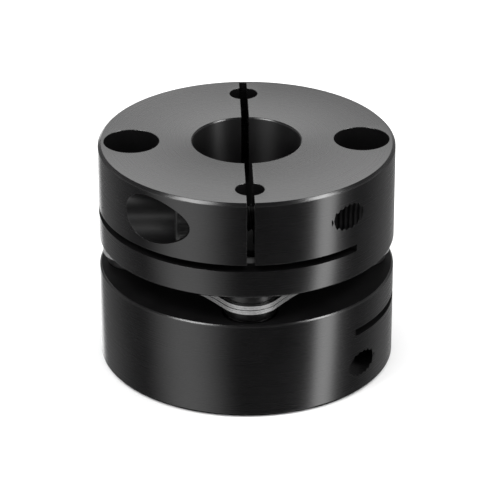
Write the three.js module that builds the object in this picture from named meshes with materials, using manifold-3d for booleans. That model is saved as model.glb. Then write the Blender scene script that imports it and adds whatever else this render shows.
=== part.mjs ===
// Clamping shaft coupling with one flexing disc pack, in millimetres, +Z along the shafts.
// Two equal hubs face each other across a gap. The lower one is upside down and turned
// a quarter turn, so each hub's disc screws reach through the other hub's access holes.

import * as THREE from "three";
import { mergeVertices } from "three/addons/utils/BufferGeometryUtils.js";
import Module from "manifold-3d";

const wasm = await Module();
wasm.setup();

// ---- Driving dimensions ----
const HUB_RADIUS = 22;
const HUB_LENGTH = 15;
const TOTAL_LENGTH = 34.5;
const EDGE_CHAMFER = 0.45; // at the outer end
const INNER_CHAMFER = 0.25; // at the rim that faces the gap
const BORE_RADIUS = 8;
const BORE_CHAMFER = 0.2;

const PITCH_RADIUS = 17; // the four disc screws stand on this circle
const ACCESS_RADIUS = 4.1; // hole that a facing screw's head lies in
const TAPPED_RADIUS = 2.1; // tapped hole, with running clearance to the screw

const SLIT_WIDTH = 1.15; // clamp slit, from the front edge through the bore
const SLIT_BACK_REACH = 21.1; // it stops short of the rim here and leaves a hinge web
const FLANGE = 4.2; // solid thickness between the inner face and the relief slot
const SLOT_HEIGHT = 1.1;
const SLOT_EDGE_ANGLE = -Math.PI / 4; // direction of the half-disc slot's straight edge

const CLAMP_OFFSET = 16.6; // clamp screw axis, in front of the shaft axis
const CLAMP_DEPTH = 4.7; // and below the hub's outer face
const SEAT_X = -6.75; // floor of the counterbore
const COUNTERBORE_RADIUS = 3.6;
const CLEARANCE_RADIUS = 2.25;

const SHANK_RADIUS = 2;
const HEAD_RADIUS = 3.5;
const CLAMP_HEAD_HEIGHT = 4;
const CLAMP_LENGTH = 14;
const CLAMP_SOCKET = 3; // across flats
const DISC_HEAD_HEIGHT = 2.8;
const DISC_SOCKET = 2.5;
const HEAD_EDGE = 0.3;
const SEAT_GAP = 0.02; // keeps a turning screw's head just off its seat
const THREAD_REACH = 3.5; // how far a disc screw goes into its flange

const PLATE_COUNT = 4;
const PLATE_THICKNESS = 0.34;
const LOBE_RADIUS = 4.5; // round a disc screw
const WAIST_RADIUS = 15.4; // the outline's nearest point to the axis, between two lobes
const PLATE_HOLE_RADIUS = 10.4;
const PLATE_BOLT_RADIUS = 2.1;
const COLLAR_RADIUS = 3.85;
const COLLAR_BORE = 2.1;
const COLLAR_CHAMFER = 0.2;

// ---- Derived places ----
const GAP_LOW = HUB_LENGTH;
const GAP_HIGH = TOTAL_LENGTH - HUB_LENGTH;
const PACK_THICKNESS = PLATE_COUNT * PLATE_THICKNESS;
const PACK_LOW = (GAP_LOW + GAP_HIGH - PACK_THICKNESS) / 2;
const PACK_HIGH = PACK_LOW + PACK_THICKNESS;
const COLLAR_LENGTH = PACK_LOW - GAP_LOW;
const OVERCUT = 1;

// ---- Finishes ----
const finish = {
  anodised: { color: 0x2b2a2c, roughness: 0.42, metalness: 0.7 },
  stainless: { color: 0xc2c1c0, roughness: 0.28, metalness: 1.0 },
  blackSteel: { color: 0x1b1a1b, roughness: 0.38, metalness: 0.8 },
};

// ---- Geometry helpers ----

function solid(geometry) {
  const bare = geometry.index ? geometry.toNonIndexed() : geometry.clone();
  bare.deleteAttribute("normal");
  bare.deleteAttribute("uv");
  const merged = mergeVertices(bare, 1e-5);
  const mesh = new wasm.Mesh({
    numProp: 3,
    vertProperties: new Float32Array(merged.attributes.position.array),
    triVerts: new Uint32Array(merged.index.array),
  });
  return new wasm.Manifold(mesh);
}

function geometryOf(manifold) {
  const mesh = manifold.getMesh();
  const geometry = new THREE.BufferGeometry();
  geometry.setAttribute("position", new THREE.BufferAttribute(mesh.vertProperties, 3));
  geometry.setIndex(new THREE.BufferAttribute(mesh.triVerts, 1));
  geometry.computeVertexNormals();
  return geometry;
}

// A body of revolution about Z. The profile is a list of [radius, z], upwards.
function turned(profile, segments) {
  const points = profile.map(([radius, z]) => new THREE.Vector2(radius, z));
  const geometry = new THREE.LatheGeometry(points, segments);
  return geometry.rotateX(Math.PI / 2);
}

function rod(radius, low, high, segments) {
  return turned([[0, low], [radius, low], [radius, high], [0, high]], segments);
}

function block(low, high) {
  const size = high.map((value, i) => value - low[i]);
  const middle = high.map((value, i) => (value + low[i]) / 2);
  return new THREE.BoxGeometry(...size).translate(...middle);
}

function slab(shape, low, high, curveSegments) {
  const settings = { depth: high - low, bevelEnabled: false, curveSegments };
  return new THREE.ExtrudeGeometry(shape, settings).translate(0, 0, low);
}

function hexPrism(acrossFlats, low, high) {
  return rod(acrossFlats / Math.sqrt(3), low, high, 6);
}

// ---- Hub: inner face on z = 0, outer face up, slit towards -Y, screw head towards -X ----

function hubBlank() {
  const r = HUB_RADIUS;
  const c = EDGE_CHAMFER;
  const n = INNER_CHAMFER;
  const b = BORE_RADIUS;
  const k = BORE_CHAMFER;
  const h = HUB_LENGTH;
  const outline = [
    [b, k], [b + k, 0], [r - n, 0], [r, n], [r, h - c], [r - c, h], [b + k, h], [b, h - k],
    [b, k],
  ];
  return solid(turned(outline, 64));
}

// Half a disc, larger than the hub, on the side of its straight edge towards -X and -Y.
function reliefSlot() {
  const reach = HUB_RADIUS + OVERCUT;
  const shape = new THREE.Shape();
  shape.absarc(0, 0, reach, SLOT_EDGE_ANGLE - Math.PI, SLOT_EDGE_ANGLE, false);
  shape.closePath();
  return slab(shape, FLANGE, FLANGE + SLOT_HEIGHT, 40);
}

// Turns a tool made along +Z to lie along +X on the clamp screw's axis.
function alongClampAxis(geometry) {
  geometry.rotateY(Math.PI / 2);
  return geometry.translate(0, -CLAMP_OFFSET, HUB_LENGTH - CLAMP_DEPTH);
}

function hubGeometry() {
  const half = SLIT_WIDTH / 2;
  const outside = HUB_RADIUS + OVERCUT;
  const above = HUB_LENGTH + OVERCUT;
  const cutters = [
    block([-half, -outside, FLANGE], [half, SLIT_BACK_REACH, above]),
    reliefSlot(),
    alongClampAxis(rod(COUNTERBORE_RADIUS, -outside, SEAT_X, 32)),
    alongClampAxis(rod(CLEARANCE_RADIUS, SEAT_X - OVERCUT, 0, 20)),
    alongClampAxis(rod(TAPPED_RADIUS, 0, outside, 20)),
  ];
  for (const side of [-1, 1]) {
    const access = rod(ACCESS_RADIUS, -OVERCUT, above, 32);
    const tapped = rod(TAPPED_RADIUS, -OVERCUT, above, 20);
    cutters.push(access.translate(side * PITCH_RADIUS, 0, 0));
    cutters.push(tapped.translate(0, side * PITCH_RADIUS, 0));
  }
  let hub = hubBlank();
  for (const cutter of cutters) {
    hub = hub.subtract(solid(cutter));
  }
  return geometryOf(hub);
}

// ---- Socket head screw along Z: the head ends at z = headHeight, the tip is below ----

function screwGeometry(headHeight, length, socket) {
  const e = HEAD_EDGE;
  const outline = [
    [0, -length], [SHANK_RADIUS - e, -length], [SHANK_RADIUS, e - length],
    [SHANK_RADIUS, 0], [HEAD_RADIUS, 0], [HEAD_RADIUS, headHeight - e],
    [HEAD_RADIUS - e, headHeight], [0, headHeight],
  ];
  const body = solid(turned(outline, 24));
  const key = solid(hexPrism(socket, headHeight / 2, headHeight + OVERCUT));
  return geometryOf(body.subtract(key));
}

// ---- Disc pack ----

// One lamination's outline: four round lobes joined by slightly hollow sides.
function plateShape() {
  // The hollow side is an arc about a centre on the diagonal. It touches both lobes.
  const inset = WAIST_RADIUS - LOBE_RADIUS;
  const diagonal = PITCH_RADIUS * Math.SQRT2;
  const centre = (PITCH_RADIUS ** 2 - inset ** 2) / (diagonal - 2 * inset);
  const along = centre / Math.SQRT2;
  const lean = Math.atan2(along, along - PITCH_RADIUS);
  const sideRadius = centre - WAIST_RADIUS;
  const shape = new THREE.Shape();
  for (let i = 0; i < 4; i += 1) {
    const turn = (i * Math.PI) / 2;
    const lobeX = PITCH_RADIUS * Math.cos(turn);
    const lobeY = PITCH_RADIUS * Math.sin(turn);
    shape.absarc(lobeX, lobeY, LOBE_RADIUS, turn - lean, turn + lean, false);
    const corner = turn + Math.PI / 4;
    const sideX = centre * Math.cos(corner);
    const sideY = centre * Math.sin(corner);
    const start = turn + lean + Math.PI;
    const end = start - 2 * (lean - Math.PI / 4);
    shape.absarc(sideX, sideY, sideRadius, start, end, true);
  }
  return shape;
}

function plateGeometry(index) {
  const low = PACK_LOW + index * PLATE_THICKNESS;
  const high = low + PLATE_THICKNESS;
  let plate = solid(slab(plateShape(), low, high, 5));
  plate = plate.subtract(solid(rod(PLATE_HOLE_RADIUS, low - OVERCUT, high + OVERCUT, 40)));
  for (let i = 0; i < 4; i += 1) {
    const turn = (i * Math.PI) / 2;
    const hole = rod(PLATE_BOLT_RADIUS, low - OVERCUT, high + OVERCUT, 20);
    hole.translate(PITCH_RADIUS * Math.cos(turn), PITCH_RADIUS * Math.sin(turn), 0);
    plate = plate.subtract(solid(hole));
  }
  return geometryOf(plate);
}

// ---- Spacers between a hub, the pack and a screw head ----

function collarGeometry(low) {
  const c = COLLAR_CHAMFER;
  const high = low + COLLAR_LENGTH;
  const outline = [
    [COLLAR_BORE, low], [COLLAR_RADIUS - c, low], [COLLAR_RADIUS, low + c],
    [COLLAR_RADIUS, high - c], [COLLAR_RADIUS - c, high], [COLLAR_BORE, high],
    [COLLAR_BORE, low],
  ];
  return turned(outline, 24);
}

// ---- Assembly ----

function part(name, geometry, look) {
  const mesh = new THREE.Mesh(geometry, new THREE.MeshStandardMaterial(look));
  mesh.name = name;
  return mesh;
}

// A hub with its clamp screw, in the hub's own frame.
function hubGroup(name) {
  const group = new THREE.Group();
  group.add(part(`${name}_hub`, hubGeometry(), finish.anodised));
  const screw = screwGeometry(CLAMP_HEAD_HEIGHT, CLAMP_LENGTH, CLAMP_SOCKET);
  const clamp = part(`${name}_clamp_screw`, screw, finish.blackSteel);
  clamp.rotation.y = -Math.PI / 2;
  clamp.position.set(SEAT_X - SEAT_GAP, -CLAMP_OFFSET, HUB_LENGTH - CLAMP_DEPTH);
  group.add(clamp);
  return group;
}

// A disc screw with its hub-side collar and its head-side washer. An upward screw
// threads into the upper hub, and its head lies in the lower hub.
function discFastening(side, x, y, upwards) {
  const group = new THREE.Group();
  group.position.set(x, y, 0);
  const length = GAP_HIGH - GAP_LOW + THREAD_REACH;
  const screw = part(
    `disc_screw_${side}`,
    screwGeometry(DISC_HEAD_HEIGHT, length, DISC_SOCKET),
    finish.blackSteel,
  );
  screw.rotation.x = upwards ? Math.PI : 0;
  screw.position.z = upwards ? GAP_LOW : GAP_HIGH;
  const collarLow = upwards ? PACK_HIGH : GAP_LOW;
  const washerLow = upwards ? GAP_LOW : PACK_HIGH;
  group.add(screw);
  group.add(part(`spacer_collar_${side}`, collarGeometry(collarLow), finish.anodised));
  group.add(part(`head_washer_${side}`, collarGeometry(washerLow), finish.blackSteel));
  return group;
}

const coupling = new THREE.Group();

const upper = hubGroup("upper");
upper.position.z = GAP_HIGH;
coupling.add(upper);

// Half a turn about the horizontal diagonal (1, -1, 0) sends +X to -Y and +Z to -Z.
const lower = hubGroup("lower");
lower.quaternion.setFromAxisAngle(new THREE.Vector3(1, -1, 0).normalize(), Math.PI);
lower.position.z = GAP_LOW;
coupling.add(lower);

for (let i = 0; i < PLATE_COUNT; i += 1) {
  coupling.add(part(`disc_plate_${i + 1}`, plateGeometry(i), finish.stainless));
}

coupling.add(discFastening("front", 0, -PITCH_RADIUS, true));
coupling.add(discFastening("back", 0, PITCH_RADIUS, true));
coupling.add(discFastening("left", -PITCH_RADIUS, 0, false));
coupling.add(discFastening("right", PITCH_RADIUS, 0, false));

export default coupling;
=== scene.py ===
"""The looks of a clamping disc coupling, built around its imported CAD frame.

Lengths are in millimetres unless a comment says otherwise. finish_mesh scales every piece to
metres. The angles of the world, the softboxes and the camera are in degrees.
"""

import math

import bmesh
import bpy
from mathutils import Matrix, Vector


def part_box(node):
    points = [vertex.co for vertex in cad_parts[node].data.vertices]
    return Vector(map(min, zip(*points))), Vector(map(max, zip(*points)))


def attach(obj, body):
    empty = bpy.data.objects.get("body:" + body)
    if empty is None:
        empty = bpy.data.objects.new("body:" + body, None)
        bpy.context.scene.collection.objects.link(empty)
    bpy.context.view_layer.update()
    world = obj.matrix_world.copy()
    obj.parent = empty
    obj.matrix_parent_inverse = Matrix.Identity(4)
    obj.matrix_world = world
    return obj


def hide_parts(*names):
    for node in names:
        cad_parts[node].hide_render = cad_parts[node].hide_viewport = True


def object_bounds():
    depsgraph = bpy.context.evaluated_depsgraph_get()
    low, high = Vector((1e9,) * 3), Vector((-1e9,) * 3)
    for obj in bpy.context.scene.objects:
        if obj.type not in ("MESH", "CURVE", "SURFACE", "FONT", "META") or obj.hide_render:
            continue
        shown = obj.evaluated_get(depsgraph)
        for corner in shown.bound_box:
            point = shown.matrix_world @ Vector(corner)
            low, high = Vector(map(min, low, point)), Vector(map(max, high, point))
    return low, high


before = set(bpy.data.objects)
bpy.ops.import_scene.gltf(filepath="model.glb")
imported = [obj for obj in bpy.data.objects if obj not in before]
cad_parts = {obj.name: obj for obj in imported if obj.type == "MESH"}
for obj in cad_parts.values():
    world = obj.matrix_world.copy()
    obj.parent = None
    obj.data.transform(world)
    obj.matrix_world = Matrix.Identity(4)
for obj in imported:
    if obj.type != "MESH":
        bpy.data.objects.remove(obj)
cad_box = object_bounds()

MM = 0.001

# ---- Hub sizes ----
HUB_RADIUS = 22.0
HUB_LENGTH = 15.0
EDGE_CHAMFER = 0.45
INNER_CHAMFER = 0.25
EDGE_ROUND = 0.07
BORE_RADIUS = 8.0
BORE_CHAMFER = 0.2
PITCH_RADIUS = 17.0
ACCESS_RADIUS = 4.1
SMALL_HOLE_RADIUS = 2.1
HOLE_CHAMFER = 0.05
SLIT_WIDTH = 1.15
SLIT_BACK_REACH = 21.1
SAW_FLOOR_START = -17.5
# As deep as NEAR, so rounding decides whether surface_of gives the saw floor the dull finish with
# painted shade.
SAW_DEPTH = 0.02
FLANGE = 4.2
SLOT_HEIGHT = 1.1
CLAMP_OFFSET = 16.6
CLAMP_DEPTH = 4.7
SEAT_X = -6.75
COUNTERBORE_RADIUS = 3.6
CLEARANCE_RADIUS = 2.25
CORE_MARGIN = 0.1
CORE_OVERRUN = 0.3

# ---- Thread and screw sizes ----
THREAD_RADIUS = 2.0
THREAD_PITCH = 0.7
THREAD_DEPTH = 0.38
# Where the groove starts, from its root, and its flank's width, as shares of half a pitch.
GROOVE_EDGE = 0.875
GROOVE_FLANK = 0.7
TAPPED_RADIUS = 2.04
TAPPED_DEPTH = 0.26
CREST_GAP = 0.02
TIP_TAPER = 0.1
NECK = 0.5
HEAD_RADIUS = 3.5
# Each is (added to the radius, height): the fillet under the head, then the head's lower edge.
NECK_FILLET = [(-0.05, -0.2), (0.08, 0)]
HEAD_FOOT = [(-0.25, 0), (-0.1, 0.05), (0, 0.2)]
HEAD_ROUND = 0.35
KNURL_START = 0.3
# The knurl ends, and the smooth shoulder above it starts, this far below the head's top.
KNURL_END = 0.75
SHOULDER = 0.65
KNURL_RIDGES = 36
KNURL_DEPTH = 0.07
HEXAGON_SIDES = 6
SOCKET_SHARE = 0.52
SOCKET_CONE = 0.45
MOUTH_DEPTH = 0.5
MOUTH_MARGIN = 0.12
CLAMP_HEAD = 4.0
CLAMP_LENGTH = 14.0
CLAMP_SOCKET = 3.0
DISC_HEAD = 2.8
DISC_SOCKET = 2.5
THREAD_REACH = 3.5
SEAT_GAP = 0.02

# ---- Disc pack sizes ----
LOBES = 4
LOBE_RADIUS = 4.5
WAIST_RADIUS = 15.4
PLATE_HOLE_RADIUS = 10.4
PLATE_EDGE = 0.05
# The edge's curve passes through a point this share of PLATE_EDGE from each face.
EDGE_SHARE = 0.3
MIDDLE_GAP = 0.12
UNDER_MIDDLE, OVER_MIDDLE = 1, 2
COLLAR_RADIUS = 3.85
COLLAR_BORE = 2.1
COLLAR_CHAMFER = 0.2
COLLAR_ROUND = 0.06

# ---- Places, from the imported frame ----
BASE_Z = cad_box[0].z / MM
GAP_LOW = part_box("lower_hub")[1].z / MM
GAP_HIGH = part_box("upper_hub")[0].z / MM
PLATES = ["disc_plate_1", "disc_plate_2", "disc_plate_3", "disc_plate_4"]
PACK_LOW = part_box(PLATES[0])[0].z / MM
PACK_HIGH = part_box(PLATES[-1])[1].z / MM
# The middle of the coupling, in metres.
MIDDLE = (cad_box[0] + cad_box[1]) / 2
MIDDLE.x = MIDDLE.y = 0

# ---- How the meshes are made ----
OVERCUT = 1.0
WELD = 1e-4
CORNER_SHARE = 3
SHARP_ANGLE = math.radians(28)
HUB_SEGMENTS = 360
HOLE_SEGMENTS = 96
SMALL_SEGMENTS = 64
SCREW_SEGMENTS = 144
COLLAR_SEGMENTS = 128
PLATE_SEGMENTS = 200
SLOT_STEPS = 48
LOBE_STEPS = 40
WAIST_STEPS = 16
ROUND_STEPS = 3
HEAD_STEPS = 5
ROWS_PER_PITCH = 8
# How far past a surface's place a corner may lie, and how a face's normal tells walls from flats.
NEAR = 0.02
WALL_LEAN = 0.5
FLAT_LEAN = 0.9

# ---- Material colours and bumps ----
ANODISED_COLOURS = (0.0022, 0.0021, 0.0023), (0.0042, 0.0040, 0.0043)
STAINLESS_COLOURS = (0.60, 0.60, 0.60), (0.70, 0.70, 0.70)
SHEARED_COLOURS = (0.20, 0.20, 0.20), (0.34, 0.34, 0.34)
STEEL_COLOURS = (0.005, 0.005, 0.005), (0.011, 0.011, 0.011)
NOISE_LOW, NOISE_HIGH = 0.3, 0.7
NOISE_ROUGHNESS = 0.55
# In metres.
BUMP_DISTANCE = 0.00001
BEVEL_RADIUS = 0.00006

# ---- Floor ----
FLOOR_REACH = 3000
FLOOR_CELLS = 8
FLOOR_COLOUR = (0.86, 0.86, 0.86, 1)
FLOOR_ROUGHNESS = 0.9
# The patch is painted shade: a black cone under the coupling that only reflections see.
PATCH_MARGIN = 0.1
PATCH_LOW = -0.04
PATCH_PEAK = -0.03
# In metres.
FLOOR_DROP = 0.00005

# ---- World: bearings run from -Y, positive towards +X; heights are sines of elevations ----
# Each band is (bearing, half width, soft edge, strength, height where it starts to fade).
BANDS = [
    (-49, 4, 38, 1.15, 0.35), (62, 5.5, 5, 3.6, 0.35), (65, 5, 20, 0.34, 0.35),
    (-170, 6, 8, 2.0, 0.0), (165, 5, 8, 0.2, 0.0),
]
BAND_FADE = 0.35
LOW_TURN = (75, 140)
LOW_LEVEL = (0.015, 0.28)
RING_FOOT = (0.27, 0.6)
RING_HEAD = (0.75, 0.95)
RING_TURN = (140, 168)
RING_LEVEL = (0.1, 2.8)
OVERHEAD = 0.02
GLOW_HEIGHT = (-0.95, -0.65)
GLOW = 0.6
HORIZON_MIDDLE = 0.24
HORIZON_REACH = (0.08, 0.16)
HORIZON_TURN = (105, 135)
HORIZON = 0.9
DIFFUSE_DOME = 1.3

# ---- Softboxes and camera, with distances and sizes in metres ----
# Each softbox is (name, bearing, elevation, distance, size, power in watts).
SOFTBOXES = [
    ("key_left", -58, 56, 0.6, 0.22, 1.75),
    ("key_right", 72, 50, 0.6, 0.16, 1.4),
]
CAMERA_BEARING = -1.6
CAMERA_ELEVATION = 26.4
CAMERA_DISTANCE = 0.4834
CAMERA_SHIFT = (0.0068, -0.0109)
CAMERA_CLIP = (0.01, 20)
# In millimetres.
SENSOR = 36.0
LENS = 232.128


# ---- Mesh helpers ----

def new_object(name, bm):
    """A new object, still in millimetres, from a bmesh that it frees."""
    bmesh.ops.recalc_face_normals(bm, faces=bm.faces)
    mesh = bpy.data.meshes.new(name)
    bm.to_mesh(mesh)
    bm.free()
    obj = bpy.data.objects.new(name, mesh)
    bpy.context.scene.collection.objects.link(obj)
    return obj


def revolve(profile, segments, closed=False, radius_at=None):
    """A body of revolution about Z. The profile lists (radius, z); radius 0 is on the axis, and
    closed joins the last ring to the first. radius_at(index, angle, radius, z) may change the
    radius of a point on a ring."""
    bm = bmesh.new()
    rings = []
    for index, (radius, z) in enumerate(profile):
        if radius == 0:
            rings.append([bm.verts.new((0, 0, z))])
            continue
        ring = []
        for k in range(segments):
            angle = 2 * math.pi * k / segments
            r = radius_at(index, angle, radius, z) if radius_at else radius
            ring.append(bm.verts.new((r * math.cos(angle), r * math.sin(angle), z)))
        rings.append(ring)
    pairs = list(zip(rings, rings[1:]))
    if closed:
        pairs.append((rings[-1], rings[0]))
    for low, high in pairs:
        for k in range(segments):
            n = (k + 1) % segments
            if len(low) == 1:
                bm.faces.new((low[0], high[k], high[n]))
            elif len(high) == 1:
                bm.faces.new((low[k], low[n], high[0]))
            else:
                bm.faces.new((low[k], low[n], high[n], high[k]))
    return bm


def prism(outline, low, high):
    """A straight prism from a list of (x, y) between two heights."""
    bm = bmesh.new()
    bottom = [bm.verts.new((x, y, low)) for x, y in outline]
    top = [bm.verts.new((x, y, high)) for x, y in outline]
    bm.faces.new(list(reversed(bottom)))
    bm.faces.new(top)
    count = len(outline)
    for k in range(count):
        n = (k + 1) % count
        bm.faces.new((bottom[k], bottom[n], top[n], top[k]))
    return bm


def arc(centre, radius, start, end, steps):
    """Points on an arc, both ends included."""
    points = []
    for k in range(steps + 1):
        angle = start + (end - start) * k / steps
        across = centre[0] + radius * math.cos(angle)
        up = centre[1] + radius * math.sin(angle)
        points.append((across, up))
    return points


def moved(bm, matrix):
    bmesh.ops.transform(bm, matrix=matrix, verts=bm.verts)
    return bm


def cut(obj, cutters):
    """Subtracts each cutter, in turn, and leaves the result as obj's own mesh."""
    for index, bm in enumerate(cutters):
        tool = new_object(f"tool_{index}", bm)
        step = obj.modifiers.new("cut", "BOOLEAN")
        step.object = tool
        step.operation = "DIFFERENCE"
        step.solver = "MANIFOLD"
        graph = bpy.context.evaluated_depsgraph_get()
        result = bpy.data.meshes.new_from_object(obj.evaluated_get(graph))
        obj.modifiers.clear()
        obj.data = result
        bpy.data.objects.remove(tool, do_unlink=True)


def finish_mesh(obj, matrix=Matrix.Identity(4)):
    """Cleans the mesh, marks its real edges sharp, places it and scales it to metres."""
    bm = bmesh.new()
    bm.from_mesh(obj.data)
    bmesh.ops.remove_doubles(bm, verts=bm.verts, dist=WELD)
    bmesh.ops.dissolve_degenerate(bm, edges=bm.edges, dist=WELD)
    for face in bm.faces:
        face.smooth = True
    for edge in bm.edges:
        edge.smooth = edge.is_manifold and edge.calc_face_angle() < SHARP_ANGLE
    bmesh.ops.transform(bm, matrix=Matrix.Scale(MM, 4) @ matrix, verts=bm.verts)
    bm.to_mesh(obj.data)
    bm.free()


def rounded(profile, radius):
    """The same closed profile with each corner replaced by a small curve."""
    points = []
    count = len(profile)
    for k in range(count):
        here = Vector(profile[k])
        before = Vector(profile[k - 1]) - here
        after = Vector(profile[(k + 1) % count]) - here
        reach = min(radius, before.length / CORNER_SHARE, after.length / CORNER_SHARE)
        start = here + before.normalized() * reach
        end = here + after.normalized() * reach
        for j in range(ROUND_STEPS + 1):
            t = j / ROUND_STEPS
            point = (1 - t) ** 2 * start + 2 * t * (1 - t) * here + t ** 2 * end
            points.append((point.x, point.y))
    return points


# ---- Hubs, in a hub's own frame: inner face on z = 0, slit towards -Y, screw head towards -X ----

def hub_blank():
    r, b, h = HUB_RADIUS, BORE_RADIUS, HUB_LENGTH
    c, n, k = EDGE_CHAMFER, INNER_CHAMFER, BORE_CHAMFER
    profile = [
        (b, k), (b + k, 0), (r - n, 0), (r, n), (r, h - c), (r - c, h), (b + k, h), (b, h - k),
    ]
    return revolve(rounded(profile, EDGE_ROUND), HUB_SEGMENTS, closed=True)


def chamfered_hole(radius, segments=HOLE_SEGMENTS):
    """A cutter for a hole right through a hub, with both mouths broken."""
    c, o = HOLE_CHAMFER, OVERCUT
    profile = [
        (0, -o), (radius + c + o, -o), (radius, c), (radius, HUB_LENGTH - c),
        (radius + c + o, HUB_LENGTH + o), (0, HUB_LENGTH + o),
    ]
    return revolve(profile, segments)


def along_clamp_axis(bm):
    turn = Matrix.Rotation(math.pi / 2, 4, "Y")
    place = Matrix.Translation((0, -CLAMP_OFFSET, HUB_LENGTH - CLAMP_DEPTH))
    return moved(bm, place @ turn)


def rod(radius, low, high, segments=HOLE_SEGMENTS):
    return revolve([(0, low), (radius, low), (radius, high), (0, high)], segments)


def threaded_rod(low, high, crest, depth):
    """A rod with a helical groove, as a cutter for a tapped hole."""
    rows = round((high - low) / THREAD_PITCH * ROWS_PER_PITCH)
    profile = [(0, low)]
    profile += [(crest, low + (high - low) * k / rows) for k in range(rows + 1)]
    profile.append((0, high))

    def radius_at(index, angle, radius, z):
        return radius - depth * groove(z, angle)

    return revolve(profile, HOLE_SEGMENTS, radius_at=radius_at)


def groove(z, angle):
    """How deep in a thread's groove a point is, from 0 on the crest to 1 at the root."""
    place = (z / THREAD_PITCH - angle / (2 * math.pi)) % 1.0
    from_root = abs(place - 0.5) * 2
    return min(max((GROOVE_EDGE - from_root) / GROOVE_FLANK, 0.0), 1.0)


def clamp_slit():
    """The slit, and behind SAW_FLOOR_START a floor that lies SAW_DEPTH below the relief slot's."""
    cutters = []
    half, end = SLIT_WIDTH / 2, SLIT_BACK_REACH
    for start, floor in ((-HUB_RADIUS - OVERCUT, FLANGE), (SAW_FLOOR_START, FLANGE - SAW_DEPTH)):
        outline = [(-half, start), (half, start), (half, end), (-half, end)]
        cutters.append(prism(outline, floor, HUB_LENGTH + OVERCUT))
    return cutters


def relief_slot():
    reach = HUB_RADIUS + OVERCUT
    edge = -math.pi / 4
    outline = arc((0, 0), reach, edge - math.pi, edge, SLOT_STEPS)
    return prism(outline, FLANGE, FLANGE + SLOT_HEIGHT)


def hub_object(name):
    obj = new_object(name, hub_blank())
    outside = HUB_RADIUS + OVERCUT
    tip = SEAT_X + CLAMP_LENGTH
    tools = [*clamp_slit(), relief_slot()]
    for side in (-1, 1):
        large = chamfered_hole(ACCESS_RADIUS)
        small = chamfered_hole(SMALL_HOLE_RADIUS, SMALL_SEGMENTS)
        tools.append(moved(large, Matrix.Translation((side * PITCH_RADIUS, 0, 0))))
        tools.append(moved(small, Matrix.Translation((0, side * PITCH_RADIUS, 0))))
    core = rod(THREAD_RADIUS + CORE_MARGIN, 0, tip + CORE_OVERRUN, SMALL_SEGMENTS)
    tools.append(along_clamp_axis(rod(COUNTERBORE_RADIUS, -outside, SEAT_X)))
    tools.append(along_clamp_axis(rod(CLEARANCE_RADIUS, SEAT_X - OVERCUT, 0, SMALL_SEGMENTS)))
    tools.append(along_clamp_axis(core))
    tools.append(along_clamp_axis(threaded_rod(tip, outside, TAPPED_RADIUS, TAPPED_DEPTH)))
    cut(obj, tools)
    return obj


# ---- Screws along Z: head underside on z = 0, tip below ----

def screw_object(name, head, length, socket):
    """A socket head cap screw with a cut thread, a knurled head and a hexagon socket."""
    rows = round(length / THREAD_PITCH * ROWS_PER_PITCH)
    root = THREAD_RADIUS - THREAD_DEPTH
    profile = [(0, -length), (root - TIP_TAPER, -length)]
    first = len(profile)
    for k in range(rows + 1):
        z = -length + (length - NECK) * k / rows
        profile.append((THREAD_RADIUS - CREST_GAP, z))
    last = len(profile) - 1
    profile += [(THREAD_RADIUS + out, z) for out, z in NECK_FILLET]
    profile += [(HEAD_RADIUS + out, z) for out, z in HEAD_FOOT]
    knurl_first = len(profile)
    profile += [(HEAD_RADIUS, KNURL_START), (HEAD_RADIUS, head - KNURL_END)]
    knurl_last = len(profile) - 1
    profile.append((HEAD_RADIUS, head - SHOULDER))
    round_centre = (HEAD_RADIUS - HEAD_ROUND, head - HEAD_ROUND)
    profile += arc(round_centre, HEAD_ROUND, 0, math.pi / 2, HEAD_STEPS)
    profile.append((0, head))

    def radius_at(index, angle, radius, z):
        if first <= index <= last:
            tip_fade = min(max((z + length) / THREAD_PITCH, 0.0), 1.0)
            neck_fade = min(max((-NECK - z) / THREAD_PITCH, 0.0), 1.0)
            crest = root - TIP_TAPER + (radius - root + TIP_TAPER) * tip_fade
            return min(crest, radius - THREAD_DEPTH * groove(z, angle) * neck_fade)
        if knurl_first <= index <= knurl_last:
            return radius - KNURL_DEPTH * (0.5 + 0.5 * math.cos(KNURL_RIDGES * angle))
        return radius

    obj = new_object(name, revolve(profile, SCREW_SEGMENTS, radius_at=radius_at))
    corner = socket / math.sqrt(3)
    depth = head * SOCKET_SHARE
    over = head + OVERCUT
    walls = [(corner, head - depth), (corner, over)]
    hexagon = revolve([(0, head - depth - SOCKET_CONE), *walls, (0, over)], HEXAGON_SIDES)
    rim = (corner + MOUTH_MARGIN + OVERCUT, head + OVERCUT - MOUTH_MARGIN)
    mouth = revolve([(0, head - MOUTH_DEPTH), rim, (0, over)], SMALL_SEGMENTS)
    cut(obj, [hexagon, mouth])
    return obj


# ---- Disc pack ----

def plate_outline(inset):
    """A lamination's outline drawn in by inset: round lobes joined by slightly hollow arcs."""
    reach = WAIST_RADIUS - LOBE_RADIUS
    diagonal = PITCH_RADIUS * math.sqrt(2)
    centre = (PITCH_RADIUS ** 2 - reach ** 2) / (diagonal - 2 * reach)
    along = centre / math.sqrt(2)
    lean = math.atan2(along, along - PITCH_RADIUS)
    side = centre - WAIST_RADIUS
    points = []
    for k in range(LOBES):
        turn = k * math.pi / 2
        lobe = (PITCH_RADIUS * math.cos(turn), PITCH_RADIUS * math.sin(turn))
        points += arc(lobe, LOBE_RADIUS - inset, turn - lean, turn + lean, LOBE_STEPS)[:-1]
        corner = turn + math.pi / 4
        middle = (centre * math.cos(corner), centre * math.sin(corner))
        start = turn + lean + math.pi
        end = start - 2 * (lean - math.pi / 4)
        points += arc(middle, side + inset, start, end, WAIST_STEPS)[:-1]
    return points


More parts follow.
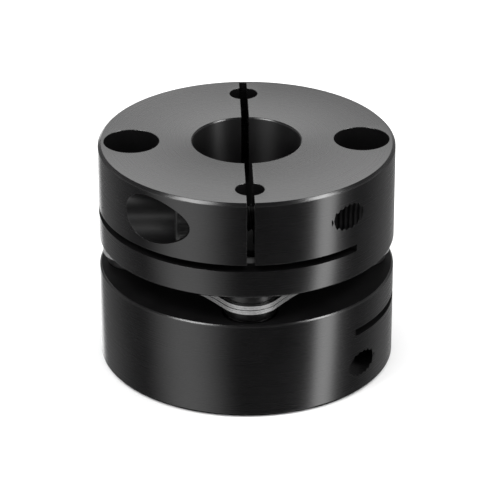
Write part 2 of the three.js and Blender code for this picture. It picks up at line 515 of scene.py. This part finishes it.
def plate_object(name, low, high):
    """A lamination with its sheared edges rounded."""
    e = PLATE_EDGE
    s = EDGE_SHARE * e
    levels = [(low, e), (low + s, s), (low + e, 0), (high - e, 0), (high - s, s), (high, e)]
    bm = bmesh.new()
    rings = [[bm.verts.new((x, y, z)) for x, y in plate_outline(inset)] for z, inset in levels]
    count = len(rings[0])
    for below, above in zip(rings, rings[1:]):
        for k in range(count):
            n = (k + 1) % count
            bm.faces.new((below[k], below[n], above[n], above[k]))
    bm.faces.new(list(reversed(rings[0])))
    bm.faces.new(rings[-1])
    obj = new_object(name, bm)
    mid = PLATE_HOLE_RADIUS
    under, over = low - OVERCUT, high + OVERCUT
    flare = mid + e + OVERCUT
    opening = [(0, under), (flare, under), (mid, low + e), (mid, high - e), (flare, over), (0, over)]
    tools = [revolve(opening, PLATE_SEGMENTS)]
    for k in range(LOBES):
        turn = k * math.pi / 2
        hole = rod(SMALL_HOLE_RADIUS, under, over, SMALL_SEGMENTS)
        place = (PITCH_RADIUS * math.cos(turn), PITCH_RADIUS * math.sin(turn), 0)
        tools.append(moved(hole, Matrix.Translation(place)))
    cut(obj, tools)
    return obj


def collar_object(name, low, high):
    c = COLLAR_CHAMFER
    profile = [
        (COLLAR_BORE, low), (COLLAR_RADIUS - c, low), (COLLAR_RADIUS, low + c),
        (COLLAR_RADIUS, high - c), (COLLAR_RADIUS - c, high), (COLLAR_BORE, high),
    ]
    return new_object(name, revolve(rounded(profile, COLLAR_ROUND), COLLAR_SEGMENTS, closed=True))


# ---- Materials ----

def nodes_of(name):
    material = bpy.data.materials.new(name)
    material.use_nodes = True
    tree = material.node_tree
    shader = next(n for n in tree.nodes if n.type == "BSDF_PRINCIPLED")
    return material, tree, shader


def add(tree, kind, **values):
    node = tree.nodes.new(kind)
    for key, value in values.items():
        setattr(node, key, value)
    return node


def noise(tree, vector, scale, detail):
    node = add(tree, "ShaderNodeTexNoise")
    node.inputs["Scale"].default_value = scale
    node.inputs["Detail"].default_value = detail
    node.inputs["Roughness"].default_value = NOISE_ROUGHNESS
    tree.links.new(vector, node.inputs["Vector"])
    return node.outputs["Fac"]


def ranged(tree, value, low, high):
    node = add(tree, "ShaderNodeMapRange")
    node.inputs["From Min"].default_value = NOISE_LOW
    node.inputs["From Max"].default_value = NOISE_HIGH
    node.inputs["To Min"].default_value = low
    node.inputs["To Max"].default_value = high
    tree.links.new(value, node.inputs["Value"])
    return node.outputs["Result"]


def mixed(tree, value, colours):
    """A colour between the two given, by a noise value."""
    factor = ranged(tree, value, 0, 1)
    node = add(tree, "ShaderNodeMix", data_type="RGBA")
    node.inputs["A"].default_value = (*colours[0], 1)
    node.inputs["B"].default_value = (*colours[1], 1)
    tree.links.new(factor, node.inputs["Factor"])
    return node.outputs["Result"]


def turned_vector(tree):
    """The place, and a vector of (distance from the Z axis, height). Noise on that vector runs
    round the axis as a lathe's marks do."""
    place = add(tree, "ShaderNodeTexCoord").outputs["Object"]
    split = add(tree, "ShaderNodeSeparateXYZ")
    tree.links.new(place, split.inputs["Vector"])
    flat = add(tree, "ShaderNodeCombineXYZ")
    tree.links.new(split.outputs["X"], flat.inputs["X"])
    tree.links.new(split.outputs["Y"], flat.inputs["Y"])
    length = add(tree, "ShaderNodeVectorMath", operation="LENGTH")
    tree.links.new(flat.outputs["Vector"], length.inputs[0])
    joined = add(tree, "ShaderNodeCombineXYZ")
    tree.links.new(length.outputs["Value"], joined.inputs["X"])
    tree.links.new(split.outputs["Z"], joined.inputs["Z"])
    return place, joined.outputs["Vector"]


def bump(tree, height, strength, normal=None):
    node = add(tree, "ShaderNodeBump")
    node.inputs["Strength"].default_value = strength
    node.inputs["Distance"].default_value = BUMP_DISTANCE
    tree.links.new(height, node.inputs["Height"])
    if normal is not None:
        tree.links.new(normal, node.inputs["Normal"])
    return node.outputs["Normal"]


def anodised_material(name, smoothest, roughest, spread=0.65, gloss=0.5):
    """Black anodised aluminium with turned marks; spread is how far they smear a highlight
    across them, and gloss is the specular level."""
    material, tree, shader = nodes_of(name)
    place, turned = turned_vector(tree)
    marks = noise(tree, turned, scale=9000, detail=2.0)
    cloud = noise(tree, place, scale=260, detail=4.0)
    grain = noise(tree, place, scale=30000, detail=2.0)
    tree.links.new(mixed(tree, cloud, ANODISED_COLOURS), shader.inputs["Base Color"])
    tree.links.new(ranged(tree, marks, smoothest, roughest), shader.inputs["Roughness"])
    shader.inputs["Metallic"].default_value = 0.0
    shader.inputs["IOR"].default_value = 1.62
    shader.inputs["Specular IOR Level"].default_value = gloss
    shader.inputs["Anisotropic"].default_value = spread
    shader.inputs["Anisotropic Rotation"].default_value = 0.25
    around = add(tree, "ShaderNodeTangent", direction_type="RADIAL", axis="Z")
    tree.links.new(around.outputs["Tangent"], shader.inputs["Tangent"])
    edge = add(tree, "ShaderNodeBevel", samples=4)
    edge.inputs["Radius"].default_value = BEVEL_RADIUS
    fine = bump(tree, grain, strength=0.07, normal=edge.outputs["Normal"])
    tree.links.new(bump(tree, marks, strength=0.05, normal=fine), shader.inputs["Normal"])
    return material


def stainless_material():
    """Rolled sheet, with its grain drawn out along X."""
    material, tree, shader = nodes_of("rolled_stainless")
    place = add(tree, "ShaderNodeTexCoord").outputs["Object"]
    stretch = add(tree, "ShaderNodeMapping")
    stretch.inputs["Scale"].default_value = (0.05, 1.0, 1.0)
    tree.links.new(place, stretch.inputs["Vector"])
    grain = noise(tree, stretch.outputs["Vector"], scale=12000, detail=3.0)
    stain = noise(tree, place, scale=300, detail=3.0)
    tree.links.new(mixed(tree, stain, STAINLESS_COLOURS), shader.inputs["Base Color"])
    tree.links.new(ranged(tree, grain, low=0.22, high=0.34), shader.inputs["Roughness"])
    shader.inputs["Metallic"].default_value = 1.0
    tree.links.new(bump(tree, grain, strength=0.15), shader.inputs["Normal"])
    return material


def sheared_edge_material():
    """The cut edge of a lamination: bright but broken up, with marks across its thickness."""
    material, tree, shader = nodes_of("sheared_stainless_edge")
    place = add(tree, "ShaderNodeTexCoord").outputs["Object"]
    across = add(tree, "ShaderNodeMapping")
    across.inputs["Scale"].default_value = (1.0, 1.0, 0.15)
    tree.links.new(place, across.inputs["Vector"])
    marks = noise(tree, across.outputs["Vector"], scale=9000, detail=3.0)
    tree.links.new(mixed(tree, marks, SHEARED_COLOURS), shader.inputs["Base Color"])
    shader.inputs["Roughness"].default_value = 0.45
    shader.inputs["Metallic"].default_value = 0.35
    tree.links.new(bump(tree, marks, strength=0.2), shader.inputs["Normal"])
    return material


def black_steel_material():
    material, tree, shader = nodes_of("black_oxide_steel")
    place = add(tree, "ShaderNodeTexCoord").outputs["Object"]
    cloud = noise(tree, place, scale=900, detail=4.0)
    grain = noise(tree, place, scale=20000, detail=2.0)
    tree.links.new(mixed(tree, cloud, STEEL_COLOURS), shader.inputs["Base Color"])
    tree.links.new(ranged(tree, grain, low=0.28, high=0.42), shader.inputs["Roughness"])
    shader.inputs["Metallic"].default_value = 0.6
    tree.links.new(bump(tree, grain, strength=0.15), shader.inputs["Normal"])
    return material


ANODISED = anodised_material("black_anodised", 0.24, 0.285)
COLLAR_ANODISED = anodised_material("black_anodised_collar", 0.42, 0.55)
BORED = anodised_material("black_anodised_bore", 0.34, 0.44, spread=0.9, gloss=0.42)
# Dull finish: rougher, as drilled and faced surfaces are, and with its specular level cut almost to
# nothing, which is painted shade that keeps recesses dark.
DULL_PAINTED_SHADE = anodised_material("black_anodised_dull_painted_shade", 0.6, 0.75, spread=0.0, gloss=0.07)
COUNTERBORED = anodised_material("black_anodised_counterbore", 0.32, 0.40, spread=0.0)
HUB_FINISHES = [ANODISED, BORED, DULL_PAINTED_SHADE, COUNTERBORED]
STAINLESS = stainless_material()
SHEARED_EDGE = sheared_edge_material()
BLACK_STEEL = black_steel_material()


def belong(obj, material, body, node):
    """Gives a piece its material and its body, and hides the CAD node that it stands for."""
    obj.data.materials.clear()
    obj.data.materials.append(material)
    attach(obj, body)
    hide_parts(node)


# ---- The pieces in place ----

UP = Matrix.Translation((0, 0, GAP_HIGH))
# Half a turn about the horizontal diagonal (1, -1, 0).
DOWN = Matrix.Translation((0, 0, GAP_LOW)) @ Matrix.Rotation(math.pi, 4, Vector((1, -1, 0)))


def surface_of(face, back):
    """The finish of a hub's face, by its place in the hub's own frame, which back leads to; the small,
    access and clearance holes, the relief slot and the inner face get the dull finish with painted
    shade.
    """
    corners = [back @ vert.co for vert in face.verts]
    across = (back.to_3x3() @ face.normal).normalized()
    lowest = min(p.z for p in corners)
    highest = max(p.z for p in corners)
    on_inner_face = highest < NEAR
    in_relief_slot = lowest > FLANGE - NEAR and highest < FLANGE + SLOT_HEIGHT + NEAR
    # Here and in the hole tests below, faces get the dull finish, whose near-zero specular level is
    # painted shade for these recesses.
    if on_inner_face or in_relief_slot:
        return DULL_PAINTED_SHADE
    if abs(across.z) < WALL_LEAN:
        if max(math.hypot(p.x, p.y) for p in corners) < BORE_RADIUS + NEAR:
            return BORED
        if max(math.hypot(p.x, abs(p.y) - PITCH_RADIUS) for p in corners) < SMALL_HOLE_RADIUS + NEAR:
            return DULL_PAINTED_SHADE
        if max(math.hypot(abs(p.x) - PITCH_RADIUS, p.y) for p in corners) < ACCESS_RADIUS + NEAR:
            return DULL_PAINTED_SHADE
    clamp_height = HUB_LENGTH - CLAMP_DEPTH
    from_clamp_axis = max(math.hypot(p.y + CLAMP_OFFSET, p.z - clamp_height) for p in corners)
    if from_clamp_axis < CLEARANCE_RADIUS + NEAR and abs(across.x) < FLAT_LEAN:
        return DULL_PAINTED_SHADE
    if from_clamp_axis < COUNTERBORE_RADIUS + NEAR and corners[0].x < SEAT_X + NEAR:
        return COUNTERBORED
    return ANODISED


def finish_surfaces(hub, place):
    """Gives each surface of a placed hub its finish, with a sharp edge where two finishes meet."""
    back = place.inverted() @ Matrix.Scale(1 / MM, 4)
    for material in HUB_FINISHES[1:]:
        hub.data.materials.append(material)
    bm = bmesh.new()
    bm.from_mesh(hub.data)
    for face in bm.faces:
        face.material_index = HUB_FINISHES.index(surface_of(face, back))
    for edge in bm.edges:
        if len({face.material_index for face in edge.link_faces}) > 1:
            edge.smooth = False
    bm.to_mesh(hub.data)
    bm.free()


for side, place in (("upper", UP), ("lower", DOWN)):
    hub = hub_object(f"{side}_clamp_hub")
    finish_mesh(hub, place)
    belong(hub, ANODISED, f"{side}_half", f"{side}_hub")
    finish_surfaces(hub, place)
    clamp = screw_object(f"{side}_hub_screw", CLAMP_HEAD, CLAMP_LENGTH, CLAMP_SOCKET)
    seat = Matrix.Translation((SEAT_X - SEAT_GAP, -CLAMP_OFFSET, HUB_LENGTH - CLAMP_DEPTH))
    finish_mesh(clamp, place @ seat @ Matrix.Rotation(-math.pi / 2, 4, "Y"))
    belong(clamp, BLACK_STEEL, f"{side}_screw", f"{side}_clamp_screw")

for index, node in enumerate(PLATES):
    low, high = (corner.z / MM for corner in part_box(node))
    if index == OVER_MIDDLE:
        low += MIDDLE_GAP / 2
    if index == UNDER_MIDDLE:
        high -= MIDDLE_GAP / 2
    plate = plate_object(f"lamination_{index + 1}", low, high)
    finish_mesh(plate)
    belong(plate, STAINLESS, "pack_tilt", node)
    plate.data.materials.append(SHEARED_EDGE)
    sheared = plate.data.materials.find(SHEARED_EDGE.name)
    for face in plate.data.polygons:
        if abs(face.normal.z) < FLAT_LEAN:
            face.material_index = sheared

SIDES = {"front": (0, -1), "back": (0, 1), "left": (-1, 0), "right": (1, 0)}
for side, (x, y) in SIDES.items():
    upwards = y != 0
    body = "upper_half" if upwards else "lower_half"
    spot = Matrix.Translation((x * PITCH_RADIUS, y * PITCH_RADIUS, 0))
    length = GAP_HIGH - GAP_LOW + THREAD_REACH
    screw = screw_object(f"{side}_disc_screw", DISC_HEAD, length, DISC_SOCKET)
    flip = Matrix.Rotation(math.pi if upwards else 0, 4, "X")
    height = Matrix.Translation((0, 0, GAP_LOW if upwards else GAP_HIGH))
    finish_mesh(screw, spot @ height @ flip)
    belong(screw, BLACK_STEEL, body, f"disc_screw_{side}")
    collar_span = (PACK_HIGH, GAP_HIGH) if upwards else (GAP_LOW, PACK_LOW)
    washer_span = (GAP_LOW, PACK_LOW) if upwards else (PACK_HIGH, GAP_HIGH)
    collar = collar_object(f"{side}_collar", *collar_span)
    finish_mesh(collar, spot)
    belong(collar, COLLAR_ANODISED, body, f"spacer_collar_{side}")
    washer = collar_object(f"{side}_washer", *washer_span)
    finish_mesh(washer, spot)
    belong(washer, BLACK_STEEL, body, f"head_washer_{side}")


# ---- Floor, light and camera ----

def make_floor():
    bm = bmesh.new()
    bmesh.ops.create_grid(bm, x_segments=FLOOR_CELLS, y_segments=FLOOR_CELLS, size=FLOOR_REACH)
    floor = new_object("floor", bm)
    height = Matrix.Translation((0, 0, BASE_Z * MM - FLOOR_DROP))
    floor.data.transform(height @ Matrix.Scale(MM, 4))
    material, _, shader = nodes_of("floor_paper")
    shader.inputs["Base Color"].default_value = FLOOR_COLOUR
    shader.inputs["Roughness"].default_value = FLOOR_ROUGHNESS
    floor.data.materials.append(material)
    floor.visible_glossy = False
    # Painted shade: where the coupling stands the floor gets no light, so a black cone that only
    # reflections see stands in for that shade.
    cone = [(0, PATCH_LOW), (HUB_RADIUS + PATCH_MARGIN, PATCH_LOW), (0, PATCH_PEAK)]
    patch = new_object("painted_shade_patch", revolve(cone, SMALL_SEGMENTS))
    finish_mesh(patch)
    shade, _, shader = nodes_of("contact_shade")
    shader.inputs["Base Color"].default_value = (0, 0, 0, 1)
    shader.inputs["Specular IOR Level"].default_value = 0
    patch.data.materials.append(shade)
    patch.visible_camera = False
    patch.visible_diffuse = False
    patch.visible_shadow = False


def make_world():
    """Plain white to the eye and a little brighter to diffuse rays. Reflections see a dark studio
    with soft upright bands, a lit ring behind, a low horizon strip and a glow underfoot."""
    world = bpy.data.worlds.new("studio")
    bpy.context.scene.world = world
    world.use_nodes = True
    tree = world.node_tree
    background = next(n for n in tree.nodes if n.type == "BACKGROUND")
    rays = add(tree, "ShaderNodeLightPath")
    direction = add(tree, "ShaderNodeTexCoord").outputs["Generated"]
    split = add(tree, "ShaderNodeSeparateXYZ")
    tree.links.new(direction, split.inputs["Vector"])

    def maths(kind, a, b=None, c=None):
        node = add(tree, "ShaderNodeMath", operation=kind)
        for socket, value in zip(node.inputs, (a, b, c)):
            if isinstance(value, (int, float)):
                socket.default_value = value
            elif value is not None:
                tree.links.new(value, socket)
        return node.outputs[0]

    def step(value, low, high, bottom, top):
        node = add(tree, "ShaderNodeMapRange", interpolation_type="SMOOTHSTEP")
        for key, number in (("From Min", low), ("From Max", high), ("To Min", bottom), ("To Max", top)):
            node.inputs[key].default_value = number
        tree.links.new(value, node.inputs["Value"])
        return node.outputs["Result"]

    # Bearing from -Y, positive towards +X, in degrees.
    forward = maths("MULTIPLY", split.outputs["Y"], -1.0)
    bearing = maths("DEGREES", maths("ARCTAN2", split.outputs["X"], forward))
    turn = maths("ABSOLUTE", bearing)
    rise = split.outputs["Z"]
    sky = step(rise, *RING_FOOT, 0.0, 1.0)
    overhead = step(rise, *RING_HEAD, 1.0, 0.0)
    ring = maths("MULTIPLY", overhead, step(turn, *RING_TURN, *RING_LEVEL))
    ring = maths("ADD", ring, OVERHEAD)
    ground = step(turn, *LOW_TURN, *LOW_LEVEL)
    bands = 0.0
    for centre, half_width, soft, strength, top in BANDS:
        off = maths("ABSOLUTE", maths("WRAP", maths("SUBTRACT", bearing, centre), 180.0, -180.0))
        band = step(off, half_width, half_width + soft, strength, 0.0)
        height = step(rise, top, top + BAND_FADE, 1.0, 0.0)
        bands = maths("ADD", bands, maths("MULTIPLY", band, height))
    low = maths("MULTIPLY", ground, maths("SUBTRACT", 1.0, sky))
    glow = step(rise, *GLOW_HEIGHT, GLOW, 0.0)
    from_horizon = maths("ABSOLUTE", maths("SUBTRACT", rise, HORIZON_MIDDLE))
    horizon = step(from_horizon, *HORIZON_REACH, HORIZON, 0.0)
    horizon = maths("MULTIPLY", horizon, step(turn, *HORIZON_TURN, 1.0, 0.0))
    total = maths("ADD", maths("ADD", low, bands), maths("MULTIPLY", sky, ring))
    total = maths("ADD", maths("ADD", total, glow), horizon)
    diffuse = maths("MULTIPLY", rays.outputs["Is Diffuse Ray"], DIFFUSE_DOME - 1.0)
    plain = maths("ADD", diffuse, 1.0)
    level = add(tree, "ShaderNodeMix", data_type="FLOAT")
    tree.links.new(rays.outputs["Is Glossy Ray"], level.inputs["Factor"])
    tree.links.new(plain, level.inputs["A"])
    tree.links.new(total, level.inputs["B"])
    background.inputs["Color"].default_value = (1, 1, 1, 1)
    tree.links.new(level.outputs["Result"], background.inputs["Strength"])


def outward(bearing, elevation):
    """The unit vector at a bearing from -Y, positive towards +X, and an elevation."""
    b, e = math.radians(bearing), math.radians(elevation)
    return Vector((math.sin(b) * math.cos(e), -math.cos(b) * math.cos(e), math.sin(e)))


def make_softbox(name, bearing, elevation, distance, size, power):
    """A square soft light aimed at the coupling's middle."""
    data = bpy.data.lights.new(name, "AREA")
    data.shape = "SQUARE"
    data.size = size
    data.energy = power
    lamp = bpy.data.objects.new(name, data)
    bpy.context.scene.collection.objects.link(lamp)
    out = outward(bearing, elevation)
    lamp.location = MIDDLE + out * distance
    lamp.rotation_mode = "QUATERNION"
    lamp.rotation_quaternion = out.to_track_quat("Z", "Y")
    lamp.visible_camera = False


def make_camera():
    data = bpy.data.cameras.new("camera")
    data.sensor_width = SENSOR
    data.lens = LENS
    data.shift_x, data.shift_y = CAMERA_SHIFT
    data.clip_start, data.clip_end = CAMERA_CLIP
    camera = bpy.data.objects.new("camera", data)
    bpy.context.scene.collection.objects.link(camera)
    back = outward(CAMERA_BEARING, CAMERA_ELEVATION)
    camera.location = MIDDLE + back * CAMERA_DISTANCE
    camera.rotation_mode = "QUATERNION"
    camera.rotation_quaternion = (-back).to_track_quat("-Z", "Y")
    bpy.context.scene.camera = camera


make_floor()
make_world()
for softbox in SOFTBOXES:
    make_softbox(*softbox)
make_camera()
bpy.context.scene.view_settings.view_transform = "Standard"
